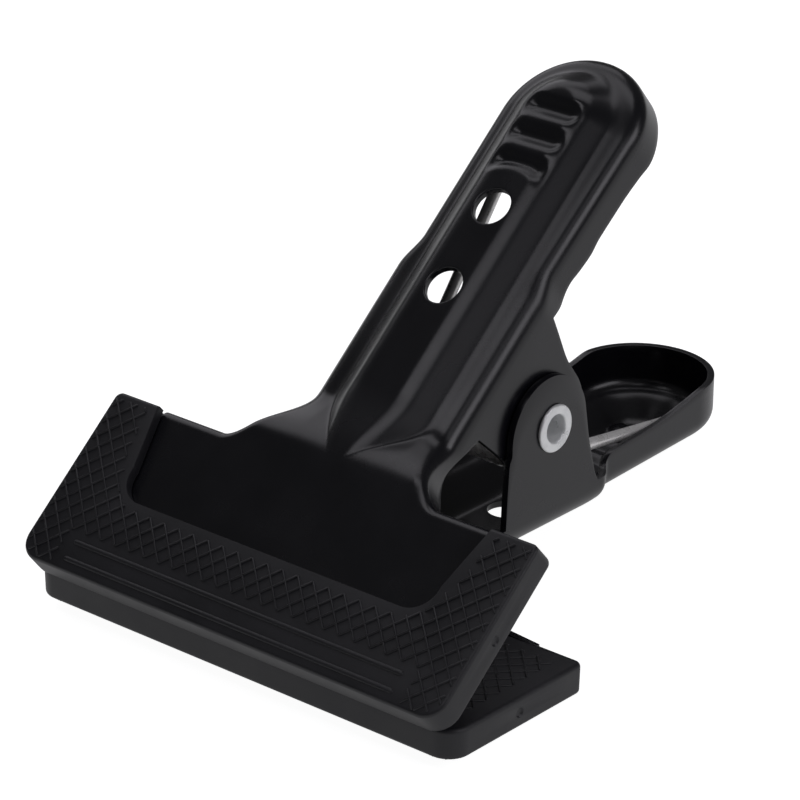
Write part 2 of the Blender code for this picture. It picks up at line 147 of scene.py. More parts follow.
LOWER_ARM = {
    "neck_half": (20.0, 18.0),
    "handle_half": (16.7, 16.7),
    "tip_half": 16.4,
    "tip_centre": 131.0,
    "jog": (92.5, 98.5),
    "ramp": (42.5, 60.0),
    "ledge": (-3.25, -4.0, -5.1),
    "crown": (2.25, 1.4, 0.3),
    "crown_run": (44.0, 62.0),
    "rim_front": ((41.0, -0.3), (43.5, -0.5), (46.6, -1.6), (51.0, -5.4), (57.0, -8.8), (60.1, -9.0)),
    "ear_front": ((60.1, -9.0), (60.4, -16.5), (60.9, -24.0)),
    "ear_arc": (73.8, -27.05, 12.1, 172.0, 345.0),
    "ear_back": ((87.1, -21.2), (89.6, -12.2), (90.7, -10.5)),
    "rim_back": (
        (90.7, -10.5),
        (96.0, -10.6),
        (99.6, -12.6),
        (106.0, -13.0),
        (113.0, -13.4),
        (120.0, -14.1),
        (127.0, -15.3),
        (134.0, -16.5),
        (142.0, -16.6),
    ),
    "holes": (85.3, 105.1),
    "shift": -1.3,
}

PAD_LENGTH = 40.4
PAD_HALF = 56.0
PAD_TOP = 7.2
PAD_FACE = 0.5
PAD_FRONT_R = 5.0
PAD_BACK_R = 1.8
PAD_EDGE_R = 0.8
DIMPLE_S = 20.4
DIMPLE_R = 1.4
POCKET = (2.8, 4.9)
POCKET_GAP = 0.3
POCKET_BACK_TRIM = 39.1
WINDOW_FRONT = 19.0
WINDOW_HALF_FRONT = 41.0
WINDOW_HALF_BACK = 44.9
WINDOW_CORNER_R = 6.0

# Raised lines in a lattice: half a diamond is 2 mm across the pad and 2.05 mm along it.
HATCH_Y = 2.0
HATCH_S = 2.05
HATCH_FROM = 9.0
HATCH_TO = 17.2
HATCH_SIDE = (46.5, 55.0)
HATCH_WIDTH = 0.52
HATCH_RISE = 0.38
HATCH_MARGIN = 1.6
GRIP_MARGIN = 4.2
RIBS = ((6.7, 43.9), (2.75, 43.9))
RIB_WIDTH = 1.15
RIB_RISE = 0.42

RIVET_BORE_R = 3.0
RIVET_TUBE_R = 3.8
RIVET_FLANGE_R = 5.2
RIVET_FLANGE = (20.03, 20.8)
RIVET_LIP_R = 0.5
RIVET_RIM_R = 0.45

WIRE_R = 1.3
COIL_R = 9.8
COIL_TURNS = 8
LOWER_LEG_Y = 13.0
UPPER_LEG_Y = -10.8
LOWER_LEG_TILT = math.radians(8.0)
UPPER_LEG_TILT = math.radians(12.0)
LEG_REACH = 57.0

# How finely the arms are divided, and how far from the middle the fine rows reach.
INNER_STEPS = 34
EDGE_STEPS = 8
BEND_STEPS = 10
FLANGE_STEPS = 5
CROWN_REACH = 14.5

# Soft lights, each by its direction, its spread in degrees and its radiance.
SOFTBOX_AWAY = 1.2
LIGHT_COLOUR = (0.96, 0.94, 1.0)
SOFTBOXES = (
    ("right_softbox", 104.0, 27.0, 44.0, 18.0, 2.4),
    ("upper_right_softbox", 76.0, 46.0, 26.0, 12.0, 0.6),
    ("back_left_softbox", -118.0, 23.0, 34.0, 20.0, 0.9),
    ("upper_left_softbox", -128.0, 44.0, 50.0, 20.0, 0.8),
    ("back_top_softbox", -150.0, 70.0, 44.0, 20.0, 1.2),
    ("front_top_softbox", 8.0, 67.0, 44.0, 16.0, 1.7),
)
ROOM_LIGHT = 0.07
FLOOR_GLOW = 0.45
FLOOR_LOOK = 0.95


def smooth(start, end, x):
    """0 before start and 1 after end, with a level slope at both."""
    t = np.clip((x - start) / (end - start), 0.0, 1.0)
    return t * t * (3.0 - 2.0 * t)


def curve(x, table):
    """A table of (x, value) read with a smooth curve that never overshoots."""
    xs, ys = (np.array(column) for column in zip(*table))
    rise = np.diff(ys) / np.diff(xs)
    slope = np.zeros(len(xs))
    for i in range(1, len(xs) - 1):
        if rise[i - 1] * rise[i] > 0.0:
            slope[i] = 2.0 * rise[i - 1] * rise[i] / (rise[i - 1] + rise[i])
    slope[0], slope[-1] = rise[0], rise[-1]
    x = min(max(x, xs[0]), xs[-1])
    i = min(int(np.searchsorted(xs, x, side="right")) - 1, len(xs) - 2)
    gap = xs[i + 1] - xs[i]
    t = (x - xs[i]) / gap
    keep = (1.0 + 2.0 * t) * (1.0 - t) ** 2 * ys[i] + t * t * (3.0 - 2.0 * t) * ys[i + 1]
    return keep + gap * t * (1.0 - t) * ((1.0 - t) * slope[i] - t * slope[i + 1])


def half_width(arm, s):
    """Half the width of the neck and the handle at s."""
    narrow = arm["neck_half"] + (arm["handle_half"] - arm["neck_half"]) * smooth(*arm["jog"], s)
    end = arm["jog"][1]
    flare = np.clip((s - end) / (arm["tip_centre"] - end), 0.0, 1.0)
    return narrow + (arm["tip_half"] - arm["handle_half"]) * flare


def bend_radius(arm, s):
    """Outside radius of the bend between the plate and its flange."""
    neck = JAW_BEND_R + (NECK_BEND_R - JAW_BEND_R) * smooth(BACK_EDGE + 2.0, NECK_START, s)
    return neck + (HANDLE_BEND_R - NECK_BEND_R) * smooth(*arm["jog"], s)


def groove_depth(arm, s, y):
    """How far the finger grooves are pressed in."""
    s = s - arm["shift"]
    hole = UPPER_ARM["holes"][1]
    across = 1.0 - smooth(GROOVE_HALF - GROOVE_EDGE, GROOVE_HALF + GROOVE_EDGE, np.abs(y))
    depth = 0.0
    for k, (middle, half) in enumerate(GROOVES):
        low = middle - half
        if k == 0:
            low = np.maximum(low - 3.0, hole + np.sqrt(np.maximum(BOSS_R**2 - y * y, 0.0)))
        inside = smooth(low - GROOVE_EDGE, low + GROOVE_EDGE, s)
        inside = inside * (1.0 - smooth(middle + half - GROOVE_EDGE, middle + half + GROOVE_EDGE, s))
        depth = depth + inside
    return GROOVE_DEPTH * depth * across


def spread(levels, s):
    """A level that changes at the jog and then evenly to the end of the handle."""
    neck, start, end = levels
    fall = (end - start) * np.clip((s - 100.0) / 33.0, 0.0, 1.0)
    return neck + (start - neck) * smooth(88.0, 100.0, s) + fall


def level(arm, s, y):
    """Height of the arm's outer face above the gripping plane, inside its bends, at arrays of s and y."""
    far = np.hypot(np.maximum(s - arm["tip_centre"], 0.0), y)
    ledge = PLATE_H + (spread(arm["ledge"], s) - PLATE_H) * smooth(*arm["ramp"], s)
    crown = PLATE_H + (spread(arm["crown"], s) - PLATE_H) * smooth(*arm["crown_run"], s)
    depth = np.maximum(crown - ledge, 1e-7)
    centre = CROWN_SHOULDER - CROWN_NOSE * (1.0 - smooth(44.0, 60.0, s))
    across = far - centre
    round_part = CROWN_SLOPE * np.maximum(across + CROWN_BLEND, 0.0) ** 2 / (4.0 * CROWN_BLEND)
    drop = np.maximum(np.where(across > CROWN_BLEND, CROWN_SLOPE * across, round_part), 1e-9)
    big = np.maximum(drop, depth)
    parts = (drop / big) ** CROWN_SHARPNESS + (depth / big) ** CROWN_SHARPNESS
    total = big * parts ** (1.0 / CROWN_SHARPNESS)
    out = np.maximum(far - LEDGE_FALL_START, 0.0)
    fall = LEDGE_FALL * out * out / (out + 0.8) * smooth(*arm["ramp"], s)
    return crown - drop * depth / total - fall - groove_depth(arm, s, y)


def rounded_corner(centre, radius, start, end, steps):
    """Points of an arc, angles in degrees."""
    angles = np.radians(np.linspace(start, end, steps + 1))
    return [(centre[0] + radius * math.cos(a), centre[1] + radius * math.sin(a)) for a in angles]


def rounded_line(points, radius, steps=4):
    """A line of points with its inner corners rounded."""
    points = [np.array(p, float) for p in points]
    out = [points[0]]
    for before, at, after in zip(points, points[1:], points[2:]):
        a, b = before - at, after - at
        la, lb = np.hypot(*a), np.hypot(*b)
        reach = min(radius, 0.45 * la, 0.45 * lb)
        start, end = at + a / la * reach, at + b / lb * reach
        for t in np.linspace(0.0, 1.0, steps + 1):
            out.append(start * (1 - t) ** 2 + 2 * at * t * (1 - t) + end * t * t)
    out.append(points[-1])
    return np.array(out)


def ear_outline(arm):
    """The lower edge of one ear as (s, h) points from front to back."""
    s, h, radius, start, end = arm["ear_arc"]
    arc = rounded_corner((s, h), radius, start, end, 40)
    return rounded_line(list(arm["ear_front"]) + arc + list(arm["ear_back"]), 2.0)


def along(points, share):
    """The point a given share of the way along a line of points."""
    steps = np.hypot(*np.diff(points, axis=0).T)
    walked = np.concatenate([[0.0], np.cumsum(steps)]) / steps.sum()
    return np.array([np.interp(share, walked, points[:, k]) for k in range(points.shape[1])])


def rim_point(arm, s, y, ear):
    """Where the flange that starts at plan point (s, y) ends, as (s, h)."""
    front, back = arm["ear_front"][0][0], arm["ear_back"][-1][0]
    if y > FILLET_START_Y:
        rise = (y - FILLET_START_Y) / (FLANGE_START_Y - FILLET_START_Y)
        return s, arm["rim_front"][0][1] + 1.2 * rise
    if s < front:
        return s, curve(s, arm["rim_front"])
    if s <= back:
        return tuple(along(ear, (s - front) / (back - front)))
    return s, curve(s, arm["rim_back"])


def front_outline():
    """Edge of the jaw plate from the middle of its front to where the flange starts."""
    corner = (PLATE_FRONT + PLATE_CORNER_R, PLATE_HALF - PLATE_CORNER_R)
    arc = rounded_corner(corner, PLATE_CORNER_R, 180.0, 90.0, 8)
    points = [(PLATE_FRONT, y) for y in (0.0, 12.0, 24.0, 36.0)] + arc
    return points + [(14.0, PLATE_HALF), (25.0, PLATE_HALF), (PLATE_SIDE_END, PLATE_HALF)]


def back_outline(arm):
    """Rows along the back edge and the fillet: spine s, plan point and outward direction."""
    rows = [(BACK_EDGE, y, 1.0, 0.0) for y in np.linspace(FLANGE_START_Y, FILLET_START_Y, 14)]
    long, wide = NECK_START - BACK_EDGE, FILLET_START_Y - arm["neck_half"]
    power = 2.0 / FILLET_POWER
    for angle in np.radians(np.linspace(4.0, 86.0, 34)):
        c, n = math.cos(angle), math.sin(angle)
        ds = long * power * c ** (power - 1.0) * n
        dy = -wide * power * n ** (power - 1.0) * c
        size = math.hypot(ds, dy)
        rows.append((NECK_START - long * c**power, FILLET_START_Y - wide * n**power, -dy / size, ds / size))
    count = len(rows)
    spine = np.linspace(FAN_CENTRE, NECK_START, count + 1)[:-1]
    return [(spine[i], *rows[i]) for i in range(count)]


def side_rows(arm):
    """Rows straight across the neck and the handle."""
    front, back = arm["ear_front"][0][0], arm["ear_back"][-1][0]
    cuts = list(np.arange(NECK_START, front - 0.3, 0.9)) + list(np.linspace(front, back, 64))
    cuts += list(np.arange(back + 0.45, arm["tip_centre"] - 0.3, 0.55)) + [arm["tip_centre"]]
    return [(s, s, float(half_width(arm, s)), 0.0, 1.0) for s in cuts]


def tip_rows(arm):
    """Rows that fan round the end of the handle."""
    rows = []
    for angle in np.radians(np.linspace(0.0, 90.0, 40)[1:]):
        n, c = math.sin(angle), math.cos(angle)
        rows.append((arm["tip_centre"], arm["tip_centre"] + arm["tip_half"] * n, arm["tip_half"] * c, n, c))
    return rows


def flanged_row(arm, row, ear):
    """Points of one row from the spine, over the bend and down the flange."""
    spine, s, y, out_s, out_y = row
    radius = bend_radius(arm, s)
    low, high = 0.0, math.radians(60.0)
    for _ in range(24):
        tilt = 0.5 * (low + high)
        back = radius * (1.0 - math.sin(tilt))
        edge = (s - out_s * back, y - out_y * back)
        fall = level(arm, *edge) - level(arm, edge[0] + 0.01 * out_s, edge[1] + 0.01 * out_y)
        if fall > 0.01 * math.tan(tilt):
            low = tilt
        else:
            high = tilt
    reach = math.hypot(edge[0] - spine, edge[1])
    near = min(CROWN_REACH / reach, 1.0 - 2.0 / reach)
    inner = np.linspace(0.0, near, INNER_STEPS + 1)
    outer = np.linspace(near, 1.0 - 0.5 / reach, EDGE_STEPS + 1)
    share = np.concatenate([inner, outer[1:], [1.0]])
    at_s, at_y = spine + (edge[0] - spine) * share, edge[1] * share
    points = list(zip(at_s, at_y, level(arm, at_s, at_y)))
    top = float(level(arm, *edge))
    for tip in np.linspace(tilt, 0.5 * math.pi, BEND_STEPS + 1)[1:]:
        out = radius * (math.sin(tip) - math.sin(tilt))
        down = radius * (math.cos(tilt) - math.cos(tip))
        points.append((edge[0] + out_s * out, edge[1] + out_y * out, top - down))
    end_h = points[-1][2]
    rim_s, rim_h = rim_point(arm, s, y, ear)
    rim_h = min(rim_h, end_h - 0.4)
    for part in np.linspace(0.0, 1.0, FLANGE_STEPS + 1)[1:]:
        at_s = s + (rim_s - s) * part
        straight = NECK_START < s <= arm["tip_centre"] and out_s == 0.0
        side = float(half_width(arm, at_s)) if straight else y
        points.append((at_s, side, end_h + (rim_h - end_h) * part))
    return points


def arm_rows(arm, side):
    """The outer face of half an arm, as rows of points, towards +Y or -Y."""
    arm = {**arm, "neck_half": arm["neck_half"][side], "handle_half": arm["handle_half"][side]}
    ear = ear_outline(arm)
    rows = []
    shares = np.linspace(0.0, 1.0, INNER_STEPS + EDGE_STEPS + 2)
    for s, y in front_outline():
        rows.append([(FAN_CENTRE + (s - FAN_CENTRE) * k, y * k, PLATE_H) for k in shares])
    for row in back_outline(arm) + side_rows(arm) + tip_rows(arm):
        rows.append(flanged_row(arm, row, ear))
    return rows


def sheet_body(halves):
    """A closed body of even thickness under a face, given as rows of points for its +Y and its -Y half."""
    points, index = [], {}

    def number(point):
        key = tuple(int(round(c * 1e4)) for c in point)
        if key not in index:
            index[key] = len(points)
            points.append(point)
        return index[key]

    faces = []
    for side, rows in zip((1.0, -1.0), halves):
        ids = [[number((p[0], side * p[1], p[2])) for p in row] for row in rows]
        for one, two in zip(ids, ids[1:]):
            for k in range(min(len(one), len(two)) - 1):
                a, b, c, d = one[k], one[k + 1], two[k + 1], two[k]
                for face in ((a, b, c), (a, c, d)):
                    if len(set(face)) == 3:
                        faces.append(face if side > 0.0 else face[::-1])
    points = np.array(points)
    faces = np.array(faces)
    a, b, c = (points[faces[:, k]] for k in range(3))
    cross = np.cross(b - a, c - a)
    if cross[:, 2].sum() < 0.0:
        faces, cross = faces[:, ::-1], -cross
    normals = np.zeros_like(points)
    for k in range(3):
        np.add.at(normals, faces[:, k], cross)
    normals /= np.linalg.norm(normals, axis=1)[:, None]
    count = len(points)
    directed = {(f[i], f[(i + 1) % 3]) for f in faces.tolist() for i in range(3)}
    border = sorted(edge for edge in directed if edge[::-1] not in directed)
    strip = []
    for one, two in border:
        strip += [(two, one, one + count), (two, one + count, two + count)]
    body = np.concatenate([faces, faces[:, ::-1] + count, np.array(strip)])
    return np.concatenate([points, points - SHEET * normals]), body


def place(x, y, z):
    """A point beside the level lower jaw, laid down as the clamp rests, in the object's frame."""
    c, n = math.cos(REST_TILT), math.sin(REST_TILT)
    return np.stack([ORIGIN[0] + x * c - z * n, y + 0.0 * x, ORIGIN[1] + x * n + z * c], axis=-1)


def turned(direction):
    """A level direction, laid down as the clamp rests."""
    x, y, z = direction
    c, n = math.cos(REST_TILT), math.sin(REST_TILT)
    return Vector((x * c - z * n, y, x * n + z * c)).normalized()


def lower_world(points):
    """Lower jaw plane to the object's frame."""
    s, y, h = np.asarray(points, float).T
    return place(-s, y, LOWER_FACE_Z - h)


def upper_world(points):
    """Upper jaw plane to the object's frame."""
    s, y, h = np.asarray(points, float).T
    c, n = math.cos(JAW_ANGLE), math.sin(JAW_ANGLE)
    return place(UPPER_FRONT[0] - s * c + h * n, y, UPPER_FRONT[1] + s * n + h * c)


def pivot_world(points):
    """Points about the pivot, level with the lower jaw, to the object's frame."""
    x, y, z = np.asarray(points, float).T
    return place(PIVOT[0] + x, y, PIVOT[1] + z)


def add_mesh(name, points, faces, flip=False):
    """One mesh object, given in millimetres in the object's frame."""
    mesh = bpy.data.meshes.new(name)
    faces = [tuple(int(i) for i in (face[::-1] if flip else face)) for face in faces]
    mesh.from_pydata([tuple(p) for p in np.asarray(points, float) * MM], [], faces)
    mesh.validate()
    obj = bpy.data.objects.new(name, mesh)
    bpy.context.scene.collection.objects.link(obj)
    return obj


def face_out(obj):
    """Turns the faces of a closed mesh to point out."""
    body = bmesh.new()
    body.from_mesh(obj.data)
    bmesh.ops.recalc_face_normals(body, faces=body.faces)
    body.to_mesh(obj.data)
    body.free()


def apply_modifiers(obj):
    """Replaces the object's mesh with its evaluated one."""
    graph = bpy.context.evaluated_depsgraph_get()
    mesh = bpy.data.meshes.new_from_object(obj.evaluated_get(graph))
    obj.modifiers.clear()
    old = obj.data
    obj.data = mesh
    bpy.data.meshes.remove(old)


def cut(target, points, faces):
    """Takes a closed body away from an object."""
    cutter = add_mesh("cutter", points, faces)
    face_out(cutter)
    change = target.modifiers.new("cut", "BOOLEAN")
    change.operation = "DIFFERENCE"
    change.solver = "MANIFOLD"
    change.object = cutter
    apply_modifiers(target)
    target.data.materials.clear()
    bpy.data.objects.remove(cutter, do_unlink=True)


def soften(obj, width, angle=50.0, segments=2):
    """Rounds an object's sharp edges a little."""
    change = obj.modifiers.new("edges", "BEVEL")
    change.width = width * MM
    change.segments = segments
    change.limit_method = "ANGLE"
    change.angle_limit = math.radians(angle)
    apply_modifiers(obj)


def shade(obj, angle=40.0):
    """Smooth shading with sharp edges kept."""
    obj.data.shade_smooth()
    obj.data.set_sharp_from_angle(angle=math.radians(angle))


def lathe(profile, steps, axis="h"):
    """A closed turned body from (radius, height) points, about the height axis or about y."""
    count = len(profile)
    points = []
    for angle in np.linspace(0.0, 2.0 * math.pi, steps + 1)[:-1]:
        c, n = math.cos(angle), math.sin(angle)
        for radius, height in profile:
            if axis == "h":
                points.append((radius * c, radius * n, height))
            else:
                points.append((radius * c, height, radius * n))
    faces = []
    for i in range(steps):
        for k in range(count):
            a, b, m = i * count, ((i + 1) % steps) * count, (k + 1) % count
            faces.append((a + k, a + m, b + m, b + k))
    return points, faces


def plug(radius, centre, top, steps=56):
    """A pin that cuts a round hole with a rolled edge at its upper face."""
    roll = 0.35
    side = [(radius, top - 8.0)]
    for angle in np.linspace(0.0, 1.45, 6):
        side.append((radius + roll * (1.0 - math.cos(angle)), top - roll + roll * math.sin(angle)))
    side.append((radius + 1.6, top + 0.25))
    points, faces = [], []
    for r, h in side:
        for a in np.linspace(0.0, 2.0 * math.pi, steps + 1)[:-1]:
            points.append((centre + r * math.cos(a), r * math.sin(a), h))
    for k in range(len(side) - 1):
        for i in range(steps):
            j = (i + 1) % steps
            faces.append((k * steps + i, k * steps + j, (k + 1) * steps + j, (k + 1) * steps + i))
    faces.append(tuple(range(steps))[::-1])
    last = (len(side) - 1) * steps
    faces.append(tuple(range(last, last + steps)))
    return points, faces


def make_arm(name, arm, to_world, body, node):
    """One pressed arm with its holes."""
    points, faces = sheet_body([arm_rows(arm, side) for side in (0, 1)])
    obj = add_mesh(name, to_world(points), faces)
    face_out(obj)
    soften(obj, 0.28)
    for s in arm["holes"]:
        hole, sides = plug(CROWN_HOLE_R, s, arm["crown"][0])
        cut(obj, to_world(hole), sides)
    ring = [(0.0001, -40.0), (EAR_HOLE_R, -40.0), (EAR_HOLE_R, 40.0), (0.0001, 40.0)]
    hole, sides = lathe(ring, 48, "y")
    cut(obj, pivot_world(hole), sides)
    shade(obj, 38.0)
    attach(obj, body)
    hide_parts(node)
    return obj


def prism(outline, bottom, top):
    """A closed prism on a plan outline of (s, y) points."""
    count = len(outline)
    points = [(s, y, bottom) for s, y in outline] + [(s, y, top) for s, y in outline]
    faces = [tuple(range(count))[::-1], tuple(range(count, 2 * count))]
    faces += [(i, (i + 1) % count, count + (i + 1) % count, count + i) for i in range(count)]
    return points, faces


def pad_outline(inset, steps=10):
    """The pad's outline in plan, drawn in by inset."""
    front = max(PAD_FRONT_R - inset, 0.4)
    back = max(PAD_BACK_R - inset, 0.4)
    near, far, half = inset, PAD_LENGTH - inset, PAD_HALF - inset
    points = rounded_corner((far - back, half - back), back, 0.0, 90.0, steps)
    points += rounded_corner((near + front, half - front), front, 90.0, 180.0, steps)
    points += rounded_corner((near + front, -half + front), front, 180.0, 270.0, steps)
    points += rounded_corner((far - back, -half + back), back, 270.0, 360.0, steps)
    return points


def pad_profile():
    """Inset and height of the pad's rim: rounded edges and a slightly leaning wall."""
    profile = []
    for angle in np.radians((0.0, 20.0, 40.0, 60.0, 80.0)):
        profile.append((1.0 - math.sin(angle), PAD_FACE + 1.0 - math.cos(angle)))
    profile += [(0.0, 1.6), (0.02, 3.0), (0.07, 5.0), (0.1, PAD_TOP - PAD_EDGE_R)]
    for angle in np.radians((10.0, 30.0, 50.0, 70.0, 90.0)):
        inset = 0.1 + PAD_EDGE_R * (1.0 - math.cos(angle))
        profile.append((inset, PAD_TOP - PAD_EDGE_R * (1.0 - math.sin(angle))))
    return profile


def pad_block():
    """The pad before its pocket and window are cut."""
    profile = pad_profile()
    rings = [pad_outline(inset) for inset, _ in profile]
    count = len(rings[0])
    points = [(s, y, h) for ring, (_, h) in zip(rings, profile) for s, y in ring]
    faces = [tuple(range(count))[::-1]]
    for k in range(len(rings) - 1):
        for i in range(count):
            j = (i + 1) % count
            faces.append((k * count + i, k * count + j, (k + 1) * count + j, (k + 1) * count + i))
    last = (len(rings) - 1) * count
    faces.append(tuple(range(last, last + count)))
    return points, faces


def mirrored(half):
    """An outline of (s, y) points closed with its mirror image in y."""
    return half + [(s, -y) for s, y in reversed(half)]


def window_half(s, margin=0.0):
    """Half the window's width at s."""
    slope = (WINDOW_HALF_BACK - WINDOW_HALF_FRONT) / (PAD_LENGTH - WINDOW_FRONT)
    return WINDOW_HALF_FRONT + slope * (s - WINDOW_FRONT) + margin


def pad_cutters():
    """The pocket, the window and the trim behind the gripping face, as closed bodies."""
    past = PAD_LENGTH + 12.0
    radius = PLATE_CORNER_R + POCKET_GAP
    front, half = PLATE_FRONT - POCKET_GAP, PLATE_HALF + POCKET_GAP
    pocket = [(past, half)] + rounded_corner((front + radius, half - radius), radius, 90.0, 180.0, 6)
    corner = (WINDOW_FRONT + WINDOW_CORNER_R, WINDOW_HALF_FRONT - WINDOW_CORNER_R)
    window = [(past, window_half(past))] + rounded_corner(corner, WINDOW_CORNER_R, 84.0, 180.0, 12)
    trim = [(past, WINDOW_HALF_BACK), (POCKET_BACK_TRIM, WINDOW_HALF_BACK)]
    return (
        prism(mirrored(pocket), *POCKET),
        prism(mirrored(window), 0.5 * sum(POCKET), PAD_TOP + 5.0),
        prism(mirrored(trim), -5.0, 0.5 * sum(POCKET)),
    )


def dimple_cutter():
    """The shallow round mark that the mould leaves in one end of a pad."""
    profile = [(0.0001, PAD_HALF - 0.4), (0.6 * DIMPLE_R, PAD_HALF - 0.35), (DIMPLE_R, PAD_HALF + 0.2)]
    points, faces = lathe(profile + [(0.0001, PAD_HALF + 0.2)], 40, "y")
    return [(x + DIMPLE_S, y, z + 0.5 * (PAD_TOP + PAD_FACE)) for x, y, z in points], faces


def hatched(s, y, outer):
    """Whether the raised lattice covers this point of the pad's outer or gripping face."""
    y = np.abs(y)
    in_s = np.maximum(PAD_FRONT_R - s, 0.0)
    in_y = np.maximum(y - PAD_HALF + PAD_FRONT_R, 0.0)
    corner = (in_s == 0.0) | (in_y == 0.0) | (np.hypot(in_s, in_y) < PAD_FRONT_R - 0.95)
    if not outer:
        edge = GRIP_MARGIN
        return (s > edge) & (s < PAD_LENGTH - edge) & (y < PAD_HALF - edge)
    side = (y > HATCH_SIDE[0] - 0.01) | (s > HATCH_FROM - 0.01)
    near_corner = np.hypot(
        np.maximum(WINDOW_FRONT + WINDOW_CORNER_R - s, 0.0),
        np.maximum(y - WINDOW_HALF_FRONT + WINDOW_CORNER_R, 0.0),
    )
    clear = (s < HATCH_TO + 0.01) | (y > window_half(s, HATCH_MARGIN))
    round_corner = (s < WINDOW_FRONT + WINDOW_CORNER_R) & (y > WINDOW_HALF_FRONT - WINDOW_CORNER_R)
    clear = clear | (round_corner & (near_corner > WINDOW_CORNER_R + HATCH_MARGIN))
    return side & clear & corner & (s > 0.9) & (s < 38.8) & (y < HATCH_SIDE[1] + 0.01)


def lattice(outer):
    """The raised lines of one face, each as its two ends in (s, y)."""
    lines = []
    step = 0.02
    for lean in (1.0, -1.0):
        for k in range(-32, 33):
            middle = 2.0 * k * HATCH_Y + HATCH_Y
            s = np.arange(-0.02, PAD_LENGTH, step) + 0.02
            y = middle + lean * (s - HATCH_FROM) * HATCH_Y / HATCH_S
            inside = np.concatenate([[False], hatched(s, y, outer), [False]])
            edges = np.flatnonzero(np.diff(inside.astype(int)))
            for start, end in zip(edges[::2], edges[1::2] - 1):
                if s[end] - s[start] > 0.7:
                    lines.append(((s[start], y[start]), (s[end], y[end])))
    return lines


def ridge(start, end, base, rise, width, cap):
    """A raised line with a rounded top and rounded ends, as points and faces in (s, y, h)."""
    start, end = np.array(start), np.array(end)
    length = np.hypot(*(end - start))
    ahead = (end - start) / length
    aside = np.array([-ahead[1], ahead[0]])
    turns = np.linspace(0.0, math.pi, 7)
    points, faces = [], []
    stations = [(t, math.sin(math.acos(max(1.0 - t / cap, 0.0)))) for t in (0.02 * cap, 0.3 * cap, cap)]
    stations += [(length - t, k) for t, k in reversed(stations)]
    for t, k in stations:
        for turn in turns:
            out = aside * (0.5 * width * k * math.cos(turn))
            at = start + ahead * t + out
            high = rise * k * math.sin(turn) ** 0.8
            points.append((at[0], at[1], base + high))
    n = len(turns)
    for i in range(len(stations) - 1):
        for j in range(n - 1):
            faces.append((i * n + j, i * n + j + 1, (i + 1) * n + j + 1, (i + 1) * n + j))
    return points, faces


def make_ridges(name, lines, to_world, section, body, flip):
    """Raised lines on a pad, as one piece. The section is their base, rise, width and end length."""
    points, faces = [], []
    for start, end in lines:
        more, sides = ridge(start, end, *section)
        faces += [tuple(i + len(points) for i in side) for side in sides]
        points += more
    obj = add_mesh(name, to_world(points), faces, flip)
    shade(obj, 80.0)
    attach(obj, body)
    return obj


def make_pad(name, to_world, body, node, flip):
    """One rubber pad, its two ribs and its hatching."""
    points, faces = pad_block()
    pad = add_mesh(name, to_world(points), faces)
    face_out(pad)
    for cutter, sides in pad_cutters():
        cut(pad, to_world(cutter), sides)
    dimple, sides = dimple_cutter()
    cut(pad, to_world(dimple), sides)
    soften(pad, 0.3, 40.0, 3)
    shade(pad, 35.0)
    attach(pad, body)
    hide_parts(node)
    side = name.split("_")[0]
    lines = [((s, -half), (s, half)) for s, half in RIBS]
    rib = (PAD_TOP - 0.05, RIB_RISE, RIB_WIDTH, 0.6)
    back = (PAD_TOP - 0.02, HATCH_RISE, HATCH_WIDTH, 0.25)
    grip = (PAD_FACE + 0.02, -0.3, HATCH_WIDTH, 0.25)
    return (
        pad,
        make_ridges(f"{side}_pad_ribs", lines, to_world, rib, body, flip),
        make_ridges(f"{side}_pad_back_hatching", lattice(True), to_world, back, body, flip),
        make_ridges(f"{side}_pad_grip_hatching", lattice(False), to_world, grip, body, not flip),
    )


def make_rivet():
    """The hollow rivet, with the same rolled head at both ends."""
    inner, outer = RIVET_FLANGE
    profile = [(RIVET_BORE_R, 0.0)]
    for angle in np.linspace(0.0, 0.5 * math.pi, 6):
        r = RIVET_BORE_R + RIVET_LIP_R * (1 - math.cos(angle))
        profile.append((r, outer - RIVET_LIP_R + RIVET_LIP_R * math.sin(angle)))
    for angle in np.linspace(0.0, math.pi, 9):
        r = RIVET_FLANGE_R - RIVET_RIM_R + RIVET_RIM_R * math.sin(angle)
        profile.append((r, outer - RIVET_RIM_R + RIVET_RIM_R * math.cos(angle)))
    profile += [(RIVET_TUBE_R, inner), (RIVET_TUBE_R, 0.0)]
    ring = profile[:-1] + [(r, -y) for r, y in reversed(profile[1:-1])]
    points, faces = lathe(ring, 96, "y")
    obj = add_mesh("hollow_rivet", pivot_world(points), faces)
    face_out(obj)
    shade(obj, 45.0)
    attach(obj, "lower_jaw")
    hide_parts("pivot_rivet")
    return obj


def spring_path():
    """Centre line of the spring about the pivot."""
    first = -0.5 * math.pi + LOWER_LEG_TILT
    last = 0.5 * math.pi - JAW_ANGLE - UPPER_LEG_TILT + 2.0 * math.pi * COIL_TURNS
    lower = np.array([-math.cos(LOWER_LEG_TILT), -math.sin(LOWER_LEG_TILT)])
    turn = math.pi - JAW_ANGLE - UPPER_LEG_TILT
    upper = np.array([math.cos(turn), math.sin(turn)])
    points = []
    start = COIL_R * np.array([math.cos(first), math.sin(first)])
    for reach in np.linspace(LEG_REACH, 2.0, 14):
        x, z = start + lower * reach
        points.append((x, LOWER_LEG_Y, z))
    count = int(40 * (last - first) / (2.0 * math.pi))
    for share in np.linspace(0.0, 1.0, count + 1):
        angle = first + (last - first) * share
        y = LOWER_LEG_Y + (UPPER_LEG_Y - LOWER_LEG_Y) * share
        points.append((COIL_R * math.cos(angle), y, COIL_R * math.sin(angle)))
    end = COIL_R * np.array([math.cos(last), math.sin(last)])
    for reach in np.linspace(2.0, LEG_REACH, 14):
        x, z = end + upper * reach
        points.append((x, UPPER_LEG_Y, z))
    return np.array(points)


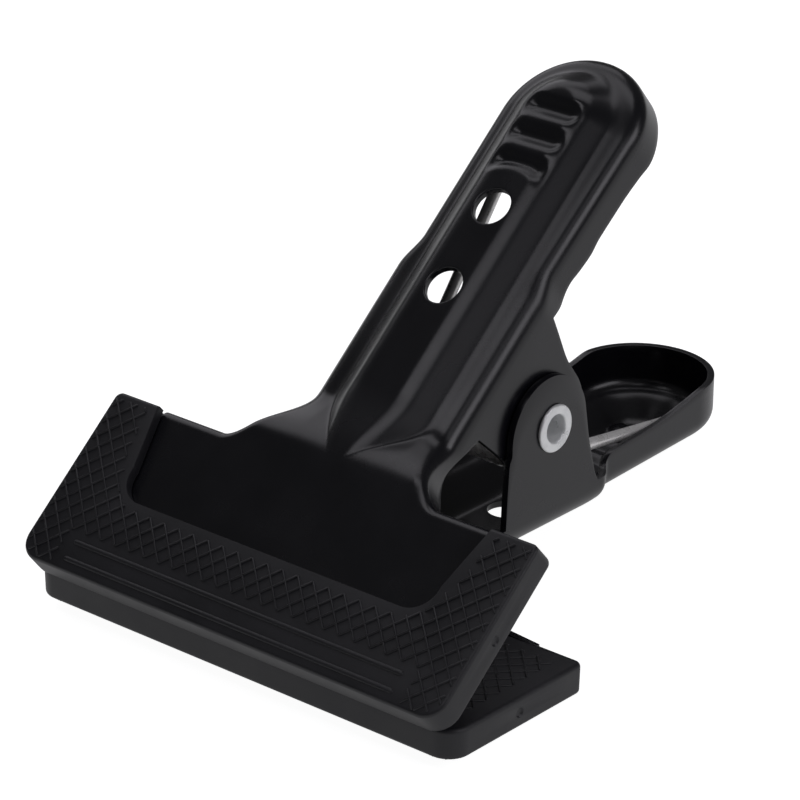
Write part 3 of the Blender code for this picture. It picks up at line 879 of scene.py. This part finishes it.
def make_spring():
    """The torsion spring, built as one fixed wire; the real spring winds up as the jaws open."""
    path, sides = spring_path(), 16
    forward = np.gradient(path, axis=0)
    forward /= np.linalg.norm(forward, axis=1)[:, None]
    points = []
    for k, (at, ahead) in enumerate(zip(path, forward)):
        first = np.array([0.0, 1.0, 0.0]) - ahead * ahead[1]
        first /= np.linalg.norm(first)
        second = np.cross(ahead, first)
        rings = [(0.0, 1.0)]
        if k in (0, len(path) - 1):
            side = -1.0 if k == 0 else 1.0
            rings = [(0.0, 1.0), (0.18 * side, 0.97), (0.25 * side, 0.88)]
            rings = rings[::-1] if k == 0 else rings
        for shift, part in rings:
            for angle in np.linspace(0.0, 2.0 * math.pi, sides + 1)[:-1]:
                out = math.cos(angle) * first + math.sin(angle) * second
                points.append(at + ahead * shift + WIRE_R * part * out)
    rows = len(points) // sides
    faces = [tuple(range(sides))[::-1], tuple(range(len(points) - sides, len(points)))]
    for k in range(rows - 1):
        for i in range(sides):
            j = (i + 1) % sides
            faces.append((k * sides + i, k * sides + j, (k + 1) * sides + j, (k + 1) * sides + i))
    obj = add_mesh("spring_wire", pivot_world(points), faces)
    face_out(obj)
    shade(obj, 50.0)
    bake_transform(obj)
    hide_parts("torsion_spring")
    return obj


def material(name):
    """A new node material and its parts."""
    made = bpy.data.materials.new(name)
    made.use_nodes = True
    nodes, links = made.node_tree.nodes, made.node_tree.links
    return made, nodes, links, nodes["Principled BSDF"]


def noise(nodes, links, scale, detail):
    """A noise texture in object space."""
    where = nodes.new("ShaderNodeTexCoord")
    made = nodes.new("ShaderNodeTexNoise")
    made.inputs["Scale"].default_value = scale
    made.inputs["Detail"].default_value = detail
    links.new(where.outputs["Object"], made.inputs["Vector"])
    return made


def ranged(nodes, links, source, low, high, start=0.3, end=0.7):
    """A value spread over a range."""
    made = nodes.new("ShaderNodeMapRange")
    made.inputs["From Min"].default_value = start
    made.inputs["From Max"].default_value = end
    made.inputs["To Min"].default_value = low
    made.inputs["To Max"].default_value = high
    links.new(source, made.inputs["Value"])
    return made.outputs["Result"]


def tinted(nodes, links, source, dark, light, start=0.3, end=0.7):
    """A colour between two, by a value."""
    made = nodes.new("ShaderNodeValToRGB")
    made.color_ramp.elements[0].position = start
    made.color_ramp.elements[0].color = (*dark, 1.0)
    made.color_ramp.elements[1].position = end
    made.color_ramp.elements[1].color = (*light, 1.0)
    links.new(source, made.inputs["Fac"])
    return made.outputs["Color"]


def coloured(nodes, links, shader, source, dark, light):
    """Gives a shader a base colour between two, by a value."""
    links.new(tinted(nodes, links, source, dark, light), shader.inputs["Base Color"])


def bump(nodes, links, shader, height, strength, distance):
    """Surface relief from a height, at most the distance in millimetres."""
    made = nodes.new("ShaderNodeBump")
    made.inputs["Strength"].default_value = strength
    made.inputs["Distance"].default_value = distance * MM
    links.new(height, made.inputs["Height"])
    links.new(made.outputs["Normal"], shader.inputs["Normal"])


def paint_material():
    """Satin black paint on pressed steel: a fine orange peel and cloudy gloss."""
    made, nodes, links, shader = material("satin_black_paint")
    broad = noise(nodes, links, 60.0, 4.0)
    fine = noise(nodes, links, 900.0, 2.0)
    coloured(nodes, links, shader, broad.outputs["Fac"], (0.0032, 0.0032, 0.0052), (0.0046, 0.0046, 0.0070))
    links.new(ranged(nodes, links, broad.outputs["Fac"], 0.23, 0.29), shader.inputs["Roughness"])
    shader.inputs["Specular IOR Level"].default_value = 0.5
    bump(nodes, links, shader, fine.outputs["Fac"], 0.12, 0.05)
    return made


def rubber_material():
    """Moulded black rubber, matte with a faint bloom."""
    made, nodes, links, shader = material("moulded_rubber")
    broad = noise(nodes, links, 90.0, 5.0)
    fine = noise(nodes, links, 1600.0, 3.0)
    coloured(nodes, links, shader, broad.outputs["Fac"], (0.0060, 0.0060, 0.0084), (0.0090, 0.0090, 0.0124))
    links.new(ranged(nodes, links, broad.outputs["Fac"], 0.42, 0.52), shader.inputs["Roughness"])
    shader.inputs["Specular IOR Level"].default_value = 0.5
    bump(nodes, links, shader, fine.outputs["Fac"], 0.25, 0.05)
    return made


def zinc_material():
    """Dull zinc plate with a cloudy gloss."""
    made, nodes, links, shader = material("zinc_plate")
    broad = noise(nodes, links, 350.0, 4.0)
    coloured(nodes, links, shader, broad.outputs["Fac"], (0.74, 0.75, 0.76), (0.92, 0.93, 0.93))
    shader.inputs["Metallic"].default_value = 0.45
    links.new(ranged(nodes, links, broad.outputs["Fac"], 0.24, 0.4), shader.inputs["Roughness"])
    bump(nodes, links, shader, broad.outputs["Fac"], 0.15, 0.05)
    return made


def wire_material():
    """Bright drawn spring wire with a cloudy gloss."""
    made, nodes, links, shader = material("drawn_wire")
    broad = noise(nodes, links, 220.0, 5.0)
    coloured(nodes, links, shader, broad.outputs["Fac"], (0.72, 0.71, 0.70), (0.90, 0.89, 0.88))
    shader.inputs["Metallic"].default_value = 0.45
    links.new(ranged(nodes, links, broad.outputs["Fac"], 0.22, 0.36), shader.inputs["Roughness"])
    bump(nodes, links, shader, broad.outputs["Fac"], 0.1, 0.05)
    return made


def floor_material():
    """A table that looks white to the camera and lights the object as a grey one would."""
    made, nodes, links, shader = material("white_table")
    broad = noise(nodes, links, 3.0, 2.0)
    coloured(nodes, links, shader, broad.outputs["Fac"], (0.42, 0.42, 0.43), (0.45, 0.45, 0.46))
    shader.inputs["Roughness"].default_value = 0.9
    shader.inputs["Emission Color"].default_value = (1.0, 1.0, 1.0, 1.0)
    path = nodes.new("ShaderNodeLightPath")
    glow = ranged(nodes, links, path.outputs["Is Camera Ray"], FLOOR_GLOW, FLOOR_LOOK, 0.0, 1.0)
    links.new(glow, shader.inputs["Emission Strength"])
    return made


def make_world():
    """A dim room that looks white behind the table."""
    world = bpy.data.worlds.new("studio")
    world.use_nodes = True
    nodes, links = world.node_tree.nodes, world.node_tree.links
    shader = nodes["Background"]
    shader.inputs["Color"].default_value = (1.0, 1.0, 1.0, 1.0)
    path = nodes.new("ShaderNodeLightPath")
    glow = ranged(nodes, links, path.outputs["Is Camera Ray"], ROOM_LIGHT, 1.0, 0.0, 1.0)
    links.new(glow, shader.inputs["Strength"])
    return world


def add_softbox(name, azimuth, elevation, wide, high, radiance):
    """A soft rectangular light that faces the object, with its direction and its spread in degrees."""
    turn, lift = math.radians(azimuth), math.radians(elevation)
    out = Vector((math.cos(lift) * math.cos(turn), math.cos(lift) * math.sin(turn), math.sin(lift)))
    data = bpy.data.lights.new(name, "AREA")
    data.shape = "RECTANGLE"
    data.size = 2.0 * SOFTBOX_AWAY * math.tan(math.radians(0.5 * wide))
    data.size_y = 2.0 * SOFTBOX_AWAY * math.tan(math.radians(0.5 * high))
    data.energy = radiance * math.pi * data.size * data.size_y
    data.color = LIGHT_COLOUR
    obj = bpy.data.objects.new(name, data)
    bpy.context.scene.collection.objects.link(obj)
    obj.location = out * SOFTBOX_AWAY + Vector((0.0, 0.0, 0.04))
    obj.rotation_euler = out.to_track_quat("Z", "Y").to_euler()
    return obj


def make_stage():
    """Floor, lights, surroundings and camera."""
    scene = bpy.context.scene
    corners = ((-3000.0, -3000.0), (3000.0, -3000.0), (3000.0, 3000.0), (-3000.0, 3000.0))
    floor = add_mesh("white_floor", [(x, y, -0.05) for x, y in corners], [(0, 1, 2, 3)])
    floor.data.materials.append(floor_material())
    scene.world = make_world()
    for light in SOFTBOXES:
        add_softbox(*light)
    data = bpy.data.cameras.new("camera")
    data.lens = CAMERA_LENS
    data.sensor_width = 36.0
    data.clip_start = 0.01
    data.clip_end = 50.0
    camera = bpy.data.objects.new("camera", data)
    scene.collection.objects.link(camera)
    back, up = turned(CAMERA_BACK), turned(CAMERA_UP)
    right = up.cross(back).normalized()
    up = back.cross(right)
    turn = Matrix((right, up, back)).transposed().to_4x4()
    at = place(CAMERA_AT[0], CAMERA_AT[1], CAMERA_AT[2]) * MM
    camera.matrix_world = Matrix.Translation(Vector(at)) @ turn
    scene.camera = camera
    scene.view_settings.view_transform = "Standard"


def main():
    paint, rubber = paint_material(), rubber_material()
    for name, arm, to_world, body, node in (
        ("lower_arm_sheet", LOWER_ARM, lower_world, "lower_jaw", "lower_arm"),
        ("upper_arm_sheet", UPPER_ARM, upper_world, "upper_jaw", "upper_arm"),
    ):
        make_arm(name, arm, to_world, body, node).data.materials.append(paint)
    for name, to_world, body, node, flip in (
        ("lower_pad_rubber", lower_world, "lower_jaw", "lower_jaw_pad", False),
        ("upper_pad_rubber", upper_world, "upper_jaw", "upper_jaw_pad", True),
    ):
        for piece in make_pad(name, to_world, body, node, flip):
            piece.data.materials.append(rubber)
    make_rivet().data.materials.append(zinc_material())
    make_spring().data.materials.append(wire_material())
    make_stage()


main()
